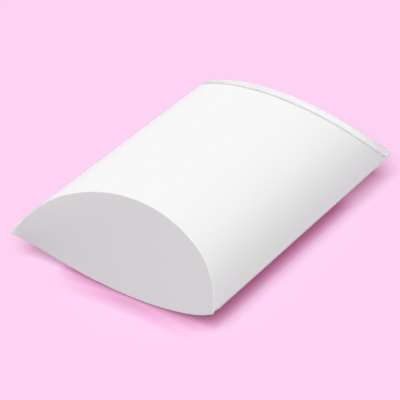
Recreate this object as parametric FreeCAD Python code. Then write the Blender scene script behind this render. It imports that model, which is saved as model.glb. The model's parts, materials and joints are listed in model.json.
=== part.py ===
"""Pillow box: a sleeve of two bowed paperboard panels, closed at each end by an outer and an inner flap."""

import FreeCAD, Part
import math
import os

# Sizes of the folded box, in millimetres.
# X runs across the box, Y along it and Z up. The near end is at -Y and the far end at +Y.
width = 90.0  # across the two side creases
height = 44.0  # from the crown of one panel to the crown of the other
panel_length = 121.5  # of either panel, along a side crease
lap = 3.6  # each panel runs past the other at the end where it carries the outer flap
end_recess = 13.3  # an end crease that lay in a plane would be this deep, from its corners to its crown
corner_flare = 2.7  # its corners stand out this much further
flare_power = 3  # the higher, the nearer the flare stays to the corners
board = 0.5  # thickness of the paperboard
crease_gap = 0.2  # slit between a panel and a flap that hinges on it

# Bow of a panel: a crown arc between two tighter shoulder arcs, as turns from level in degrees.
crown_turn = 25.0  # where the crown arc meets a shoulder
edge_turn = 62.0  # where a shoulder meets its side crease

# End flaps.
flap_relief = 0.45  # an outer flap stops this far inside each side crease
inner_clearance = 1.05  # room between an inner flap's tips and the board of the side walls
tip_depth = 0.3  # depth of the blunt tip at each end of a flap
tip_lean = 1.2  # how far an outer flap's tips stand out of the crease
outer_lean = 2.6  # how far the middle of an outer flap's free edge stands out
outer_short = 1.8  # the same edge stops this far short of the other panel's crown
free_edge_power = 1.04  # 1 bows a flap's free edge like its crease, and more than 1 makes it rounder
inner_depth = 25.0  # of an inner flap, at its middle

# Glued side seam, on the -X side.
seam_width = 14.0  # of the glue flap, round the bow
seam_end_gap = 5.0  # from the panels' corners to the glue flap's ends
seam_taper = 6.0  # how much each end of the glue flap is cut back at its free edge
seam_fold_turn = 8.0  # degrees that the glue flap reaches below the side crease
glue = 0.1  # thickness of the glue
glue_margin = 2.0  # bare board left round the glue

# Modelling aids.
overrun = 5.0  # how far a cutting shape passes what it cuts
overrun_turn = 12.0  # degrees that the curve of a cut passes the side creases
curve_points = 25  # points on each crease curve

half_width = width / 2
half_height = height / 2
near_corner = -(panel_length + lap) / 2
far_corner = near_corner + panel_length
inner_relief = flap_relief + board + inner_clearance
crown_angle = math.radians(crown_turn)
edge_angle = math.radians(edge_turn)


def bow_radii():
    """Crown and shoulder radii of a tangent arch with the stated width, height and turns."""
    crown_run = math.sin(crown_angle)
    crown_fall = 1 - math.cos(crown_angle)
    shoulder_run = math.sin(edge_angle) - crown_run
    shoulder_fall = math.cos(crown_angle) - math.cos(edge_angle)
    spread = crown_run * shoulder_fall - crown_fall * shoulder_run
    crown = (half_width * shoulder_fall - half_height * shoulder_run) / spread
    shoulder = (half_height * crown_run - half_width * crown_fall) / spread
    return crown, shoulder


crown_radius, shoulder_radius = bow_radii()
crown_centre = half_height - crown_radius
shoulder_x = (crown_radius - shoulder_radius) * math.sin(crown_angle)
shoulder_z = crown_centre + (crown_radius - shoulder_radius) * math.cos(crown_angle)
seam_turn = edge_turn - math.degrees(seam_width / shoulder_radius)
margin_turn = math.degrees(glue_margin / shoulder_radius)


def bow_point(turn, inset=0.0):
    """X and Z of the bow at a turn in degrees, at an inset from its outer face."""
    angle = math.radians(abs(turn))
    if abs(turn) <= crown_turn:
        x = (crown_radius - inset) * math.sin(angle)
        z = crown_centre + (crown_radius - inset) * math.cos(angle)
    else:
        x = shoulder_x + (shoulder_radius - inset) * math.sin(angle)
        z = shoulder_z + (shoulder_radius - inset) * math.cos(angle)
    return math.copysign(x, turn), z


def bow_height(x):
    """Z of the bow's outer face at an X."""
    if abs(x) <= crown_radius * math.sin(crown_angle):
        return crown_centre + math.sqrt(crown_radius**2 - x**2)
    return shoulder_z + math.sqrt(shoulder_radius**2 - (abs(x) - shoulder_x) ** 2)


def level_turn(inset):
    """Turn at which the bow, at an inset, reaches the plane of the side creases."""
    return math.degrees(math.acos(-shoulder_z / (shoulder_radius - inset)))


def shoulder_turn(x):
    """Turn of the shoulder's outer face at an X."""
    return math.degrees(math.asin((x - shoulder_x) / shoulder_radius))


def line(start, end):
    return Part.LineSegment(start, end).toShape()


def closed_face(edges):
    return Part.Face(Part.Wire(Part.sortEdges(edges)[0]))


def spline(points):
    curve = Part.BSplineCurve()
    curve.interpolate(points)
    return curve.toShape()


def arch(inset, start, stop):
    """Arcs of the bow at an inset, from one turn to another, in the XZ plane."""
    joints = [turn for turn in (-crown_turn, crown_turn) if start < turn < stop]
    turns = [start] + joints + [stop]
    edges = []
    for first, last in zip(turns, turns[1:]):
        points = []
        for turn in (first, (first + last) / 2, last):
            x, z = bow_point(turn, inset)
            points.append(FreeCAD.Vector(x, 0, z))
        edges.append(Part.Arc(*points).toShape())
    return edges


def band(outer, inner):
    """Solid along the box between two arches, each an inset and its two end turns."""
    outer_edges = arch(*outer)
    inner_edges = arch(*inner)
    ends = []
    for index in (0, -1):
        start = outer_edges[index].Vertexes[index].Point
        end = inner_edges[index].Vertexes[index].Point
        ends.append(line(start, end))
    face = closed_face(outer_edges + inner_edges + ends)
    face.translate(FreeCAD.Vector(0, near_corner - overrun, 0))
    return face.extrude(FreeCAD.Vector(0, panel_length + lap + 2 * overrun, 0))


def crease_run(z):
    """How far an end crease lies behind its corners at a Z, and how fast that grows with Z."""
    corner_share = 1 - z / half_height
    run = end_recess * (1 - corner_share) + corner_flare * (1 - corner_share**flare_power)
    growth = (end_recess + corner_flare * flare_power * corner_share ** (flare_power - 1)) / half_height
    return run, growth


def plan_offset(x, y, turn, out, growth, offset):
    """Move a point of an end curve squarely into the box, seen from above. Growth is the curve's run per Z."""
    slope = growth * math.tan(math.radians(turn))
    length = math.hypot(1, slope)
    return x + offset * slope / length, y - out * offset / length


def even_turns(limit):
    return [limit * (2 * step / (curve_points - 1) - 1) for step in range(curve_points)]


def end_curve(corner, out, offset):
    """Curve of a panel's end crease, seen from above and moved into the box by an offset."""
    points = []
    for turn in even_turns(edge_turn + overrun_turn):
        x, z = bow_point(turn)
        run, growth = crease_run(z)
        x, y = plan_offset(x, corner - out * run, turn, out, growth, offset)
        points.append(FreeCAD.Vector(x, y, 0))
    return points


def upper_panel():
    """Bowed panel between its two end creases, mitred on the plane of the side creases."""
    outer_limit = level_turn(0)
    inner_limit = level_turn(board)
    bowed = band((0, -outer_limit, outer_limit), (board, -inner_limit, inner_limit))
    near = end_curve(near_corner, -1, board + crease_gap)
    far = end_curve(far_corner, 1, board + crease_gap)
    outline = [spline(near), spline(far), line(near[0], far[0]), line(near[-1], far[-1])]
    return bowed.common(closed_face(outline).extrude(FreeCAD.Vector(0, 0, height)))


def ruled_solid(curves):
    """Solid between curves that are given in order round it, each joined to the next by straight rulings."""
    edges = [spline(points) for points in curves]
    faces = [Part.makeRuledSurface(edges[step - 1], edges[step]) for step in range(len(edges))]
    for index in (0, -1):
        corners = [points[index] for points in curves]
        faces.append(Part.makeRuledSurface(line(corners[0], corners[1]), line(corners[3], corners[2])))
    shell = Part.Shell(faces)
    shell.sewShape()
    solid = Part.Solid(shell)
    if solid.Volume < 0:
        solid.reverse()
    return solid


def flap(corner, out, relief, depth, lean, end_lean):
    """Ruled wall of board from an end crease of the upper panel down to the flap's free edge."""
    lean_growth = (lean - end_lean) / half_height
    crease = [[], []]
    free = [[], []]
    for turn in even_turns(shoulder_turn(half_width - relief)):
        x, z = bow_point(turn)
        run, growth = crease_run(z)
        y = corner - out * run
        depth_share = (z / half_height) ** free_edge_power
        free_y = y + out * (end_lean + lean_growth * z)
        free_z = z - tip_depth - (depth - tip_depth) * depth_share
        crease[0].append(FreeCAD.Vector(x, y, z))
        free[0].append(FreeCAD.Vector(x, free_y, free_z))
        inner_x, inner_y = plan_offset(x, y, turn, out, growth, board)
        crease[1].append(FreeCAD.Vector(inner_x, inner_y, bow_height(inner_x)))
        inner_x, inner_y = plan_offset(x, free_y, turn, out, growth - lean_growth, board)
        free[1].append(FreeCAD.Vector(inner_x, inner_y, free_z))
    return ruled_solid(crease + free[::-1])


def seam_band(outer_inset, thickness, start, stop):
    """Strip along the inside of the upper panel at the -X side, between two turns."""
    return band((outer_inset, start, stop), (outer_inset + thickness, start, stop))


def seam_outline(margin):
    """Tapered outline of the side seam, seen from above, drawn in by a margin."""
    end = far_corner - lap - seam_end_gap - margin
    free_x = bow_point(-seam_turn)[0]
    run_share = (end - seam_taper) / end
    near_x = -half_width - overrun
    points = [
        FreeCAD.Vector(near_x, -end, 0),
        FreeCAD.Vector(-half_width, -end, 0),
        FreeCAD.Vector(free_x + overrun, -end * run_share, 0),
        FreeCAD.Vector(free_x + overrun, end * run_share, 0),
        FreeCAD.Vector(-half_width, end, 0),
        FreeCAD.Vector(near_x, end, 0),
    ]
    edges = [line(points[step - 1], points[step]) for step in range(len(points))]
    face = closed_face(edges)
    face.translate(FreeCAD.Vector(0, 0, -height))
    return face.extrude(FreeCAD.Vector(0, 0, 2 * height))


def sleeve_hollow():
    """The room inside the two panels."""
    limit = level_turn(board)
    upper = arch(board, -limit, limit)
    lower = [half_turn(edge) for edge in upper]
    face = closed_face(upper + lower)
    face.translate(FreeCAD.Vector(0, near_corner, 0))
    return face.extrude(FreeCAD.Vector(0, panel_length + lap, 0))


def half_turn(shape):
    """The same shape turned over end for end, which swaps the panels and the ends."""
    turned = shape.copy()
    turned.rotate(FreeCAD.Vector(0, 0, 0), FreeCAD.Vector(1, 0, 0), 180)
    return turned


def glue_flap():
    strip = seam_band(board + glue, board, -edge_turn - seam_fold_turn, -seam_turn)
    return strip.common(sleeve_hollow()).common(seam_outline(0))


def glue_line():
    strip = seam_band(board, glue, -edge_turn + margin_turn, -seam_turn - margin_turn)
    return strip.common(seam_outline(glue_margin))


def outer_flap():
    return flap(near_corner, -1, flap_relief, height - outer_short, outer_lean, tip_lean)


def inner_flap():
    return flap(far_corner, 1, inner_relief, inner_depth, 0, 0)


pieces = {
    "top_panel": upper_panel(),
    "bottom_panel": half_turn(upper_panel()),
    "near_outer_flap": outer_flap(),
    "near_inner_flap": half_turn(inner_flap()),
    "far_outer_flap": half_turn(outer_flap()),
    "far_inner_flap": inner_flap(),
    "glue_flap": glue_flap(),
    "glue_line": glue_line(),
}

# The box rests on the crown of its lower panel, on the plane Z = 0.
os.makedirs("parts", exist_ok=True)
for name, shape in pieces.items():
    solid = shape.Solids[0]
    solid.translate(FreeCAD.Vector(0, 0, half_height))
    solid.exportStep("parts/" + name + ".step")
    print(name, len(shape.Solids), solid.isValid(), round(solid.Volume, 2))
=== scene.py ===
"""Looks of a pillow box: bowed panels and curved end flaps of white paperboard, on a plain pale floor."""

import json
import math

import bpy
import numpy as np
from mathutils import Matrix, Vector


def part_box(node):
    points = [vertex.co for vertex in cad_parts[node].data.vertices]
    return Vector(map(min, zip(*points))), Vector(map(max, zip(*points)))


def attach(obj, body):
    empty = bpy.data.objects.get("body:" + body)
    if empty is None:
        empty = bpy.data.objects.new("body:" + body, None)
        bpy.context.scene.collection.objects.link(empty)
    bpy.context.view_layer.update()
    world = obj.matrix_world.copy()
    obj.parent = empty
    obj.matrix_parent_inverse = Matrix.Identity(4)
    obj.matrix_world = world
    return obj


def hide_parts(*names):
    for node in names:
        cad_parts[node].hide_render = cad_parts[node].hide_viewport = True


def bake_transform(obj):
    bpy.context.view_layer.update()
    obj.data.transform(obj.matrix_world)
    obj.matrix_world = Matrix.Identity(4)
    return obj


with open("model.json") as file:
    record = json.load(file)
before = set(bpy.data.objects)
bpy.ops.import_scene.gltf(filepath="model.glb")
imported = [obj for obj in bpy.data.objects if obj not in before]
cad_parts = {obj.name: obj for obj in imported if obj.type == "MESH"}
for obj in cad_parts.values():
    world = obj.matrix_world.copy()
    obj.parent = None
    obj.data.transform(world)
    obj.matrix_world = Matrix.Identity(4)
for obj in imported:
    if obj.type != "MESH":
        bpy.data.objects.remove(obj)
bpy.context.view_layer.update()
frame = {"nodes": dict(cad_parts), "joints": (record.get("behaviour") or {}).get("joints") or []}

# Sizes of the box, in metres. X runs across it, Y along it and Z up, and Z is zero on the side creases
# until a piece is placed.
joint_place = {joint["name"]: joint["pos_m"] for joint in frame["joints"]}
half_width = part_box("top_panel")[1].x
half_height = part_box("top_panel")[1].z / 2
middle = Vector((0, 0, half_height))
outer_crown = -joint_place["near_outer_fold"][1]  # from the middle to the crown of an outer flap's crease
inner_crown = joint_place["far_inner_fold"][1]  # the same for an inner flap
lap = outer_crown - inner_crown  # how much further out an outer crease lies than an inner one
END_RECESS = 0.0133  # depth of an end crease that lay in a plane, from its corners to its crown
CORNER_FLARE = 0.0027  # its corners stand out this much further
FLARE_POWER = 3  # the higher, the nearer the flare stays to the corners
BOARD = 0.0005  # thickness of the paperboard
CROWN_TURN = math.radians(25.0)  # where the crown arc of a panel meets a shoulder arc
EDGE_TURN = math.radians(62.0)  # where a shoulder arc meets its side crease
CORNER_RISE = 0.003  # height over which the lower panel's near end runs out to the outer flap's corners
crown_run = END_RECESS + CORNER_FLARE
near_corner = -outer_crown - crown_run
far_corner = inner_crown + crown_run

# Flaps: how far they stop inside the side creases, their depth at the middle, how far the middle and the
# tips of the free edge stand out, and how far the face is hollowed behind a free edge that springs out.
OUTER_FLAP = {"relief": 0.0002, "depth": 0.0422, "lean": 0.0026, "end_lean": 0.0012, "spring": 0.0}
FAR_OUTER_FLAP = {**OUTER_FLAP, "lean": 0.0034, "end_lean": 0.0014, "spring": 0.002}
INNER_FLAP = {"relief": 0.002, "depth": 0.025, "lean": 0.0, "end_lean": 0.0, "spring": 0.0}
TIP_DEPTH = 0.0003  # depth of a flap where its crease runs into a side crease
FREE_EDGE_POWER = 1.04  # 1 bows a free edge like its crease, and more makes it rounder
SPRING_LENGTH = 0.003  # the hollow of a face sets in over about this length below the free edge

# Folds, edges and the glued seam.
SIDE_FOLD = 0.0008  # outer radius of a side crease
FOLD_SETBACK = 0.0003  # from an end crease to where its rounding starts
FOLD_LEAD = 0.0005  # flat board that a flap's mesh takes with it beyond the rounding
FOLD_TAPER = 0.006  # the rounding of an end crease sharpens over this width next to a side crease
CROWN_SHARE = 0.99  # of the height, above which a crease counts as straight
EDGE_BEVEL = 0.00008  # worn corner of a cut edge
GLUE = 0.0001  # thickness of the glue
SEAM_WIDTH = 0.014  # of the glue flap, round the bow
SEAM_END_GAP = 0.005  # from the panels' corners to the glue flap's ends
SEAM_TAPER = 0.006  # how much each end of the glue flap is cut back at its free edge

# Meshes.
BOW_COLUMNS = 121
PANEL_ROWS = 25
FLAP_ROWS = 25
ROW_POWER = 1.5  # above 1, the rows of a flap lie closer towards its free edge
FOLD_STEPS = 8
SIDE_STEPS = 8
SEAM_COLUMNS = 17
SHARP_ANGLE = math.radians(40)  # faces that meet at less are shaded as one
fold_bends = np.linspace(0, 1, FOLD_STEPS + 1)  # share of an end crease's bend at each row of its rounding


def bow_radii():
    """Crown and shoulder radii of the tangent arch."""
    crown_width = math.sin(CROWN_TURN)
    crown_fall = 1 - math.cos(CROWN_TURN)
    shoulder_width = math.sin(EDGE_TURN) - crown_width
    shoulder_fall = math.cos(CROWN_TURN) - math.cos(EDGE_TURN)
    spread = crown_width * shoulder_fall - crown_fall * shoulder_width
    crown = (half_width * shoulder_fall - half_height * shoulder_width) / spread
    shoulder = (half_height * crown_width - half_width * crown_fall) / spread
    return crown, shoulder


crown_radius, shoulder_radius = bow_radii()
crown_z = half_height - crown_radius
shoulder_x = (crown_radius - shoulder_radius) * math.sin(CROWN_TURN)
shoulder_z = crown_z + (crown_radius - shoulder_radius) * math.cos(CROWN_TURN)


def bow(turns, inset=0.0):
    """X, Z of the bow and its normals at an array of turns, at an inset from the outer face."""
    sine = np.sin(turns)
    cosine = np.cos(turns)
    on_crown = np.abs(turns) <= CROWN_TURN
    x = np.where(
        on_crown,
        (crown_radius - inset) * sine,
        np.sign(turns) * shoulder_x + (shoulder_radius - inset) * sine,
    )
    z = np.where(
        on_crown,
        crown_z + (crown_radius - inset) * cosine,
        shoulder_z + (shoulder_radius - inset) * cosine,
    )
    return np.stack([x, z], -1), np.stack([sine, cosine], -1)


def arc(centre, radius, turns):
    """Points and normals of an arc, in X and Z, at an array of turns from upright."""
    normals = np.stack([np.sin(turns), np.cos(turns)], -1)
    return np.asarray(centre) + radius * normals, normals


def side_fold(inset):
    """Centre of a side crease's rounding on the +X side, and the turns where it meets the two panels.

    The first turn is on the panel itself. The other panel's board lies at an inset, which is the room that
    the crease leaves for a board outside it.
    """
    own = shoulder_radius - SIDE_FOLD
    other = own - inset
    z = (other**2 - own**2) / (4 * shoulder_z)
    reach = math.sqrt(own**2 - (z - shoulder_z) ** 2)
    start = math.atan2(reach, z - shoulder_z)
    stop = math.pi - math.atan2(reach, -z - shoulder_z)
    return (shoulder_x + reach, z), start, stop


def profile(seam):
    """Outer points and normals across the upper panel, from its seam at -X, cut or folded, to +X."""
    centre, start, _ = side_fold(0)
    right = arc(centre, SIDE_FOLD, np.linspace(start, math.pi / 2, SIDE_STEPS + 1)[1:])
    if seam == "fold":
        centre, left_start, _ = side_fold(BOARD + GLUE)
        left = arc(centre, SIDE_FOLD, np.linspace(math.pi / 2, left_start, SIDE_STEPS + 1)[:-1])
        left = [part * (-1, 1) for part in left]
    else:
        left_start = EDGE_TURN
        left = [np.zeros((0, 2)), np.zeros((0, 2))]
    bowed = bow(np.linspace(-left_start, start, BOW_COLUMNS))
    return [np.concatenate(parts) for parts in zip(left, bowed, right)]


def crease_run(z):
    """How far an end crease lies behind its corners at a Z."""
    corner_share = 1 - z / half_height
    return END_RECESS * (1 - corner_share) + CORNER_FLARE * (1 - corner_share**FLARE_POWER)


def fold_share(x):
    """How much of its full size the rounding of an end crease has at an X."""
    return np.clip((half_width - np.abs(x)) / FOLD_TAPER, 0, 1)


def upper_panel(seam):
    """Outer and inner skins of the upper panel, as rows along Y of points across the bow.

    With a folded seam it is the lower panel before its half turn, and its far end becomes the near one.
    """
    points, normals = profile(seam)
    set_back = (FOLD_SETBACK + FOLD_LEAD) * fold_share(points[:, 0])
    near = near_corner + crease_run(points[:, 1]) + set_back
    far = far_corner - crease_run(points[:, 1]) - set_back
    if seam == "fold":
        far += lap * np.clip(1 - points[:, 1] / CORNER_RISE, 0, 1)
    shares = np.linspace(0, 1, PANEL_ROWS)[:, None]
    y = near + shares * (far - near)
    skins = []
    for inset in (0, BOARD):
        x, z = (points - inset * normals).T
        skins.append(np.stack(np.broadcast_arrays(x, y, z), -1))
    return skins


def glue_flap():
    """Outer and inner skins of the glue flap, in the frame of the lower panel before its half turn."""
    centre, _, stop = side_fold(BOARD + GLUE)
    fold = arc(centre, SIDE_FOLD, np.linspace(math.pi / 2, stop, SIDE_STEPS + 1))
    free_turn = EDGE_TURN - SEAM_WIDTH / shoulder_radius
    wall_turns = np.linspace(math.pi - stop, free_turn, SEAM_COLUMNS)[1:]
    wall = [part * (1, -1) for part in bow(wall_turns, BOARD + GLUE)]
    points, normals = (np.concatenate(parts) * (-1, 1) for parts in zip(fold, wall))
    run = np.concatenate([[0], np.cumsum(np.linalg.norm(np.diff(points, axis=0), axis=1))])
    ends = far_corner - SEAM_END_GAP - SEAM_TAPER * run / run[-1]
    shares = np.linspace(-1, 1, PANEL_ROWS)[:, None]
    skins = []
    for inset in (0, BOARD):
        x, z = (points - inset * normals).T
        skins.append(np.stack(np.broadcast_arrays(x, shares * ends, z), -1))
    return skins


def fold_rows(crease, into, down):
    """Rows of points round an end crease, from the panel's flat board to the start of the flap's face."""
    size = fold_share(crease[:, 0])[:, None]
    start = crease + FOLD_SETBACK * size * into
    stop = crease + FOLD_SETBACK * size * down
    rows = [start + FOLD_LEAD * size * into]
    for bend in fold_bends:
        rows.append((1 - bend) ** 2 * start + 2 * bend * (1 - bend) * crease + bend**2 * stop)
    return rows


def inner_skin(outer, out):
    """The skin one board thickness inside a flap's outer skin, no wider than the box."""
    along = np.gradient(outer, axis=0)
    across = np.gradient(outer, axis=1)
    normals = np.cross(along, across) * -out
    normals /= np.linalg.norm(normals, axis=-1, keepdims=True)
    inner = outer - BOARD * normals
    inner[..., 0] = np.clip(inner[..., 0], -half_width, half_width)
    return inner


def with_bevel(skin, other, down):
    """A flap's skin with one more row, the worn free edge, which turns towards the other skin."""
    inward = EDGE_BEVEL * (other[-1] - skin[-1]) / BOARD
    edge = skin[-1] + EDGE_BEVEL * down + inward
    return np.concatenate([skin, edge[None]])


def turn_shares(points, z, corner, out, middle_angle):
    """Share of a flap's turn that each of its points takes, from rows of points and the crease's Z.

    It falls to zero along the crease, which bends with the panel, so that the open flap carries the bow on.
    The worn edge turns with the row before it.
    """
    crown = corner - out * crown_run
    angle = np.arctan2(out * (points[:, :, 1] - crown), half_height - points[:, :, 2])
    below_crown = np.minimum(z, CROWN_SHARE * half_height)
    crease_angle = np.arctan2(crown_run - crease_run(below_crown), half_height - below_crown)
    shares = np.clip((crease_angle - angle) / (crease_angle - middle_angle), 0, 1)
    bends = np.concatenate([[0], fold_bends])
    fold_end = len(bends) - 1
    shares[: fold_end + 1] = bends[:, None] * shares[fold_end]
    return np.concatenate([shares, shares[-1:]])


def flap(corner, out, relief, depth, lean, end_lean, spring):
    """Outer and inner skins of a flap of the upper panel, and the share of its turn that each point takes.

    The rows run from the end crease to the free edge. Out is the way along Y that the flap's end faces.
    """
    limit = math.asin((half_width - relief - shoulder_x) / shoulder_radius)
    x, z = bow(np.linspace(-limit, limit, BOW_COLUMNS))[0].T
    crease_y = corner - out * crease_run(z)
    crease = np.stack([x, crease_y, z], -1)
    free_y = crease_y + out * (end_lean + (lean - end_lean) * z / half_height)
    free_z = z - TIP_DEPTH - (depth - TIP_DEPTH) * (z / half_height) ** FREE_EDGE_POWER
    free = np.stack([x, free_y, free_z], -1)
    reach = np.linalg.norm(free - crease, axis=1, keepdims=True)
    down = (free - crease) / reach
    into = np.array([0, -out, 0])
    fold = fold_rows(crease, into, down)
    start = fold[-1]
    edge = free - EDGE_BEVEL * down
    steps = 1 - np.linspace(1, 0, FLAP_ROWS)[1:] ** ROW_POWER
    straight = np.array(fold + [start + step * (edge - start) for step in steps])
    outer = straight.copy()
    for row, step in zip(outer[len(fold):], steps):
        set_in = 1 - np.exp(-(1 - step) * reach / SPRING_LENGTH)
        row += spring * step * z[:, None] / half_height * set_in * into
    inner = inner_skin(outer, out)
    shares = turn_shares(straight, z, corner, out, math.atan(lean / depth))
    return with_bevel(outer, inner, down), with_bevel(inner, outer, down), shares


def half_turn(points):
    """The same points turned over end for end, which swaps the panels and the ends."""
    return points * (1, -1, -1)


def placed(name, data):
    """A new object in the scene."""
    thing = bpy.data.objects.new(name, data)
    bpy.context.scene.collection.objects.link(thing)
    return thing


def quads(first, second):
    """Faces between two lines of corners."""
    return np.stack([first[:-1], second[:-1], second[1:], first[1:]], -1).reshape(-1, 4)


def sheet(name, outer, inner, materials):
    """A closed mesh of board between two skins, with its own materials outside, inside and on its edges."""
    rows, columns = outer.shape[:2]
    index = np.arange(rows * columns).reshape(rows, columns)
    back = index + rows * columns
    front_faces = np.concatenate([quads(index[row], index[row + 1]) for row in range(rows - 1)])
    back_faces = np.concatenate([quads(back[row + 1], back[row]) for row in range(rows - 1)])
    edge_faces = np.concatenate(
        [
            quads(back[0], index[0]),
            quads(index[-1], back[-1]),
            quads(index[:, 0], back[:, 0]),
            quads(back[:, -1], index[:, -1]),
        ]
    )
    faces = np.concatenate([front_faces, back_faces, edge_faces])
    normal = np.cross(outer[1, 0] - outer[0, 0], outer[0, 1] - outer[0, 0])
    faces_inwards = normal @ (outer[0, 0] - inner[0, 0]) < 0
    if faces_inwards:
        faces = faces[:, ::-1]
    points = np.concatenate([outer.reshape(-1, 3), inner.reshape(-1, 3)]) + (0, 0, half_height)
    mesh = bpy.data.meshes.new(name)
    mesh.from_pydata(points.tolist(), [], faces.tolist())
    slots = np.repeat([0, 1, 2], [len(front_faces), len(back_faces), len(edge_faces)])
    mesh.polygons.foreach_set("material_index", slots)
    mesh.polygons.foreach_set("use_smooth", np.ones(len(faces), bool))
    mesh.set_sharp_from_angle(angle=SHARP_ANGLE)
    for material in materials:
        mesh.materials.append(material)
    piece = placed(name, mesh)
    return piece


def hinge_by_shares(piece):
    """Bakes a flap's placement into its mesh; it does not bend the flap."""
    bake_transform(piece)


# Materials.
MOTTLE_SCALE = 420.0
MOTTLE_DETAIL = 6.0
FIBRE_SCALE = 5200.0
FIBRE_DETAIL = 4.0
FINISH_SPREAD = 0.06  # how much the fibres vary the roughness, either way
BOARD_SPECULAR = 0.2


def noise(tree, scale, detail):
    """Noise over a piece, fixed to the piece."""
    place = tree.nodes.new("ShaderNodeTexCoord")
    texture = tree.nodes.new("ShaderNodeTexNoise")
    texture.inputs["Scale"].default_value = scale
    texture.inputs["Detail"].default_value = detail
    tree.links.new(place.outputs["Object"], texture.inputs["Vector"])
    return texture.outputs["Fac"]


def colour_mix(tree):
    """A mix of two colours."""
    mix = tree.nodes.new("ShaderNodeMix")
    mix.data_type = "RGBA"
    return mix


def board_material(name, colour, shade, roughness, tooth):
    """Paperboard, or glue on it, with a faint mottle and the tooth of its surface.

    Shade is the colour of its darker spots, and tooth is the depth of its fibres.
    """
    material = bpy.data.materials.new(name)
    material.use_nodes = True
    tree = material.node_tree
    shader = tree.nodes["Principled BSDF"]
    shader.inputs["Specular IOR Level"].default_value = BOARD_SPECULAR
    mix = colour_mix(tree)
    mix.inputs["A"].default_value = (*shade, 1)
    mix.inputs["B"].default_value = (*colour, 1)
    tree.links.new(noise(tree, MOTTLE_SCALE, MOTTLE_DETAIL), mix.inputs["Factor"])
    tree.links.new(mix.outputs["Result"], shader.inputs["Base Color"])
    fibre = noise(tree, FIBRE_SCALE, FIBRE_DETAIL)
    finish = tree.nodes.new("ShaderNodeMapRange")
    finish.inputs["To Min"].default_value = roughness - FINISH_SPREAD
    finish.inputs["To Max"].default_value = roughness + FINISH_SPREAD
    tree.links.new(fibre, finish.inputs["Value"])
    tree.links.new(finish.outputs["Result"], shader.inputs["Roughness"])
    bump = tree.nodes.new("ShaderNodeBump")
    bump.inputs["Strength"].default_value = 1.0
    bump.inputs["Distance"].default_value = tooth
    tree.links.new(fibre, bump.inputs["Height"])
    tree.links.new(bump.outputs["Normal"], shader.inputs["Normal"])
    return material


coated = board_material(
    "coated_board",
    colour=(0.905, 0.905, 0.905),
    shade=(0.885, 0.885, 0.885),
    roughness=0.75,
    tooth=0.000003,
)
uncoated = board_material(
    "uncoated_board",
    colour=(0.935, 0.93, 0.94),
    shade=(0.905, 0.9, 0.91),
    roughness=0.8,
    tooth=0.000006,
)
cut_edge = board_material(
    "cut_edge",
    colour=(0.84, 0.84, 0.83),
    shade=(0.74, 0.74, 0.73),
    roughness=0.9,
    tooth=0.000012,
)
dried_glue = board_material(
    "dried_glue",
    colour=(0.82, 0.79, 0.7),
    shade=(0.76, 0.72, 0.62),
    roughness=0.45,
    tooth=0.000008,
)
board = (coated, uncoated, cut_edge)

# Panels and the glued seam.
top = sheet("top_board", *upper_panel("cut"), board)
bottom = sheet("bottom_board", *map(half_turn, upper_panel("fold")), board)
seam = sheet("seam_board", *map(half_turn, glue_flap()), board)
for piece, node in ((top, "top_panel"), (bottom, "bottom_panel"), (seam, "glue_flap")):
    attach(piece, "sleeve")
    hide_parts(node)

# The glue keeps its solid's shape.
glue_node = frame["nodes"]["glue_line"]
glue_node.data.materials.clear()
glue_node.data.materials.append(dried_glue)

# End flaps. The far outer and the near inner one belong to the lower panel.
for end, outer_sizes in (("near", OUTER_FLAP), ("far", FAR_OUTER_FLAP)):
    for layer, corner, out, sizes in (
        ("outer", near_corner, -1, outer_sizes),
        ("inner", far_corner, 1, INNER_FLAP),
    ):
        outer, inner, shares = flap(corner, out, **sizes)
        if (end == "near") != (layer == "outer"):
            outer, inner = half_turn(outer), half_turn(inner)
        piece = sheet(f"{end}_{layer}_board", outer, inner, board)
        hinge_by_shares(piece)
        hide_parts(f"{end}_{layer}_flap")

# Floor and backdrop: pale to the camera. To the light that they give back to the box, the floor is almost
# neutral and the backdrop is black.
FLOOR_SIZE = 6.0
FLOOR_ROUGHNESS = 0.9
FLOOR_COLOUR = (0.985, 0.645, 0.895)
SHADOW_COLOUR = (0.35, 0.09, 0.2)  # of the floor where its own lamp doesn't reach
FLOOR_BOUNCE = (0.0465, 0.039, 0.0465)  # the floor's colour to the light that it gives back to the box
BLACK = (0.0, 0.0, 0.0)
PAINTED_SHADOW_SHARES = {  # painted contact shadow: shares of the floor's colour, by the share of the sky that the box leaves open close by
    0.2: (0.45, 0.3, 0.36),
    0.55: (0.69, 0.52, 0.6),
    0.7: (0.79, 0.57, 0.67),
    0.8: (0.89, 0.7, 0.79),
    0.9: (0.965, 0.81, 0.895),
    0.97: (0.99, 0.91, 0.96),
    1.0: (1.0, 1.0, 1.0),
}
CONTACT_REACH = 0.009  # board further than this from the floor leaves it without painted shadow
CONTACT_SAMPLES = 16

# The floor's own lamp is stronger by this gain and the lit floor as much darker, so that light from the box
# hardly shows on it.
FLOOR_LAMP_GAIN = 8
lit_colour = [(whole - dark) / FLOOR_LAMP_GAIN for whole, dark in zip(FLOOR_COLOUR, SHADOW_COLOUR)]


def camera_mix(tree, given):
    """A mix whose input B is what the camera sees, also in reflections. The given colour lights the box."""
    path = tree.nodes.new("ShaderNodeLightPath")
    seen = path.outputs["Is Camera Ray"]
    for ray in ("Is Glossy Ray", "Is Transmission Ray"):
        either = tree.nodes.new("ShaderNodeMath")
        either.operation = "MAXIMUM"
        tree.links.new(seen, either.inputs[0])
        tree.links.new(path.outputs[ray], either.inputs[1])
        seen = either.outputs["Value"]
    mix = colour_mix(tree)
    mix.inputs["A"].default_value = (*given, 1)
    tree.links.new(seen, mix.inputs["Factor"])
    return mix


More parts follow.
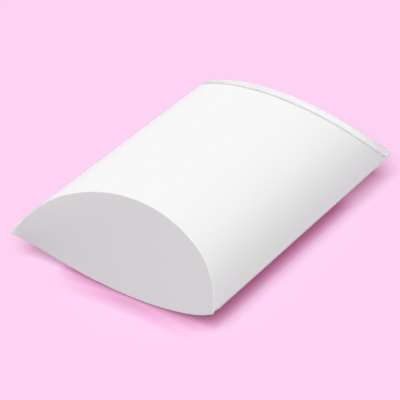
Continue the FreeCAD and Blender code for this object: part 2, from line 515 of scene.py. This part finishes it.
def painted_contact_shadow(tree):
    """Painted contact shadow: the share of the floor's colour that is left where the box is close to it,
    read from ambient occlusion.
    """
    occlusion = tree.nodes.new("ShaderNodeAmbientOcclusion")
    occlusion.samples = CONTACT_SAMPLES
    occlusion.inputs["Distance"].default_value = CONTACT_REACH
    ramp = tree.nodes.new("ShaderNodeValToRGB")
    stops = ramp.color_ramp.elements
    while len(stops) < len(PAINTED_SHADOW_SHARES):
        stops.new(1)
    for stop, (opening, share) in zip(stops, PAINTED_SHADOW_SHARES.items()):
        stop.position = opening
        stop.color = (*share, 1)
    tree.links.new(occlusion.outputs["AO"], ramp.inputs["Fac"])
    return ramp.outputs["Color"]


def tinted(tree, share, colour):
    """A colour times a share that varies over the surface."""
    mix = colour_mix(tree)
    mix.blend_type = "MULTIPLY"
    mix.inputs["Factor"].default_value = 1.0
    tree.links.new(share, mix.inputs["A"])
    mix.inputs["B"].default_value = (*colour, 1)
    return mix.outputs["Result"]


def floor_look():
    """The floor's material: its shadow colour shines everywhere, its own lamp adds the rest, and painted
    shade darkens both by the box.
    """
    material = bpy.data.materials.new("floor")
    material.use_nodes = True
    tree = material.node_tree
    shader = tree.nodes["Principled BSDF"]
    shader.inputs["Roughness"].default_value = FLOOR_ROUGHNESS
    shader.inputs["Specular IOR Level"].default_value = 0.0
    shader.inputs["Emission Strength"].default_value = 1.0
    # Painted shadow near the box, from ambient occlusion, darkens both the lit colour and the glow.
    contact = painted_contact_shadow(tree)
    for given, colour, socket in (
        (FLOOR_BOUNCE, lit_colour, "Base Color"),
        (BLACK, SHADOW_COLOUR, "Emission Color"),
    ):
        mix = camera_mix(tree, given)
        tree.links.new(tinted(tree, contact, colour), mix.inputs["B"])
        tree.links.new(mix.outputs["Result"], shader.inputs[socket])
    return material


half_floor = FLOOR_SIZE / 2
floor_mesh = bpy.data.meshes.new("floor")
floor_corners = [(x * half_floor, y * half_floor, 0) for x, y in ((-1, -1), (1, -1), (1, 1), (-1, 1))]
floor_mesh.from_pydata(floor_corners, [], [(0, 1, 2, 3)])
floor_mesh.materials.append(floor_look())
floor = placed("floor", floor_mesh)

world = bpy.data.worlds.new("studio")
bpy.context.scene.world = world
world.use_nodes = True
background = world.node_tree.nodes["Background"]
backdrop_mix = camera_mix(world.node_tree, BLACK)
backdrop_mix.inputs["B"].default_value = (*FLOOR_COLOUR, 1)
world.node_tree.links.new(backdrop_mix.outputs["Result"], background.inputs["Color"])
background.inputs["Strength"].default_value = 1.0

# Lamps, with angles in degrees. Azimuth is 0 in front of the near end and 90 to the right.
LAMP_DISTANCE = 2.5
LAMPS = {  # azimuth, elevation, size and power
    "front_left": (-40, 42, 0.5, 26.5),
    "front": (26, 28.5, 0.08, 20.5),
    "back_left": (-150, 40, 1.1, 23.5),
    "back": (180, 58, 1.1, 7.5),
    "left_high": (-120, 65, 1.1, 13),
    "right_back": (120, 40, 1.1, 5),
    "right_low": (90, 5, 0.5, 20),
}
FLOOR_LAMP_AZIMUTH = 28.5
FLOOR_LAMP_ELEVATION = 42
FLOOR_LAMP_ANGLE = 23  # how wide it looks from the floor


def aim(thing, azimuth, elevation, distance):
    """Places a lamp or a camera so that it points at the middle of the box."""
    turn = math.radians(azimuth)
    rise = math.radians(elevation)
    back = Vector((math.sin(turn) * math.cos(rise), -math.cos(turn) * math.cos(rise), math.sin(rise)))
    thing.location = middle + distance * back
    thing.rotation_euler = back.to_track_quat("Z", "Y").to_euler()


def receivers(name, state):
    """A collection that lets a lamp light only the floor, or everything but the floor."""
    collection = bpy.data.collections.new(name)
    collection.objects.link(floor)
    collection.collection_objects[0].light_linking.link_state = state
    return collection


all_but_floor = receivers("all_but_floor", "EXCLUDE")
for lamp_name, (azimuth, elevation, size, power) in LAMPS.items():
    lamp = bpy.data.lights.new(lamp_name, "AREA")
    lamp.size = size
    lamp.energy = power
    light = placed(lamp_name, lamp)
    aim(light, azimuth, elevation, LAMP_DISTANCE)
    light.light_linking.receiver_collection = all_but_floor

# At this strength the lamp's light and the shadow colour add up to the floor's whole colour.
floor_lamp = bpy.data.lights.new("floor_lamp", "SUN")
floor_lamp.angle = math.radians(FLOOR_LAMP_ANGLE)
floor_lamp.energy = FLOOR_LAMP_GAIN * math.pi / math.sin(math.radians(FLOOR_LAMP_ELEVATION))
floor_light = placed("floor_lamp", floor_lamp)
aim(floor_light, FLOOR_LAMP_AZIMUTH, FLOOR_LAMP_ELEVATION, LAMP_DISTANCE)
floor_light.light_linking.receiver_collection = receivers("floor_alone", "INCLUDE")

# Camera at the photograph's angle.
CAMERA_AZIMUTH = 33.81
CAMERA_ELEVATION = 33.24
CAMERA_DISTANCE = 0.8056
LENS = 190.03
SENSOR = 36.0
IMAGE_SIZE = 400
BOX_PLACE = (206.417, 191.523)  # pixel of the box's middle
camera_data = bpy.data.cameras.new("camera")
camera_data.lens = LENS
camera_data.sensor_width = SENSOR
camera_data.shift_x = 0.5 - BOX_PLACE[0] / IMAGE_SIZE
camera_data.shift_y = BOX_PLACE[1] / IMAGE_SIZE - 0.5
camera = placed("camera", camera_data)
aim(camera, CAMERA_AZIMUTH, CAMERA_ELEVATION, CAMERA_DISTANCE)
bpy.context.scene.camera = camera
bpy.context.scene.view_settings.view_transform = "Standard"
